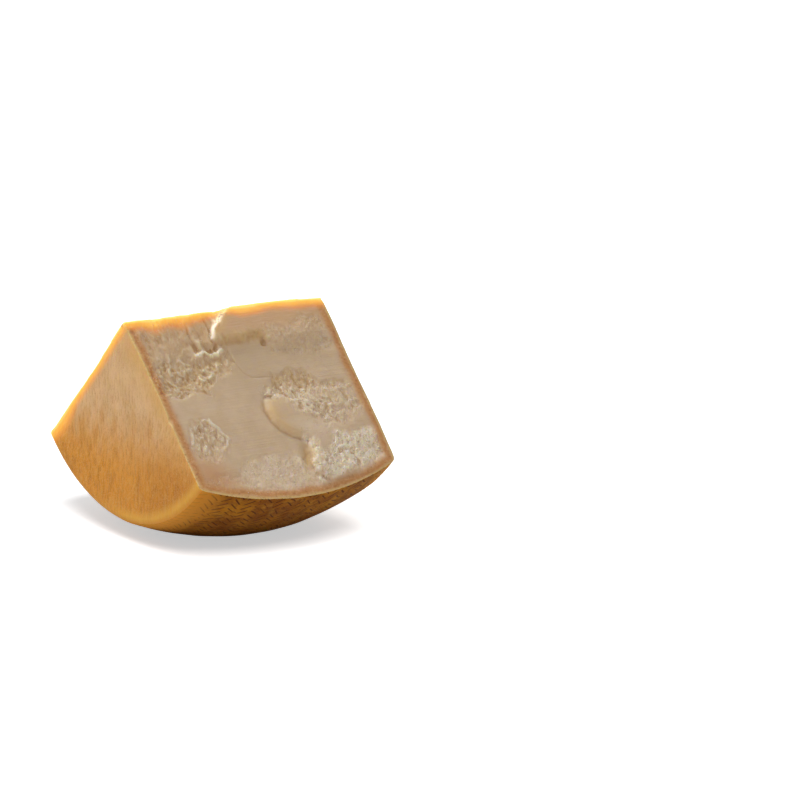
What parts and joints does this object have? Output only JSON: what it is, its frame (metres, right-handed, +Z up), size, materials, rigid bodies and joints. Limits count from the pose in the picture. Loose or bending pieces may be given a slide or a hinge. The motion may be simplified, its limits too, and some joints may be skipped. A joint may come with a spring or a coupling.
{
  "type": "hard cheese wedge",
  "caption": "Wedge of a large wheel of hard, granular cheese with a golden rind, lying on its curved side with its rough broken cut faces turned up.",
  "frame": {"origin": "on the floor, under the middle of the wedge's bounding box", "axes": "+X along the level top edge, which is the wheel's axis; +Y horizontal, from the front cut face to the back one; +Z up"},
  "size_m": [0.227, 0.308, 0.2177],
  "materials": {
    "cheese": "pale straw, fine-grained cheese paste, dull and slightly waxy, with a golden brown satin rind on the curved side and on the two flat faces"
  },
  "bodies": {
    "root": {"cheese_wedge": "cheese"}
  },
  "joints": []
}
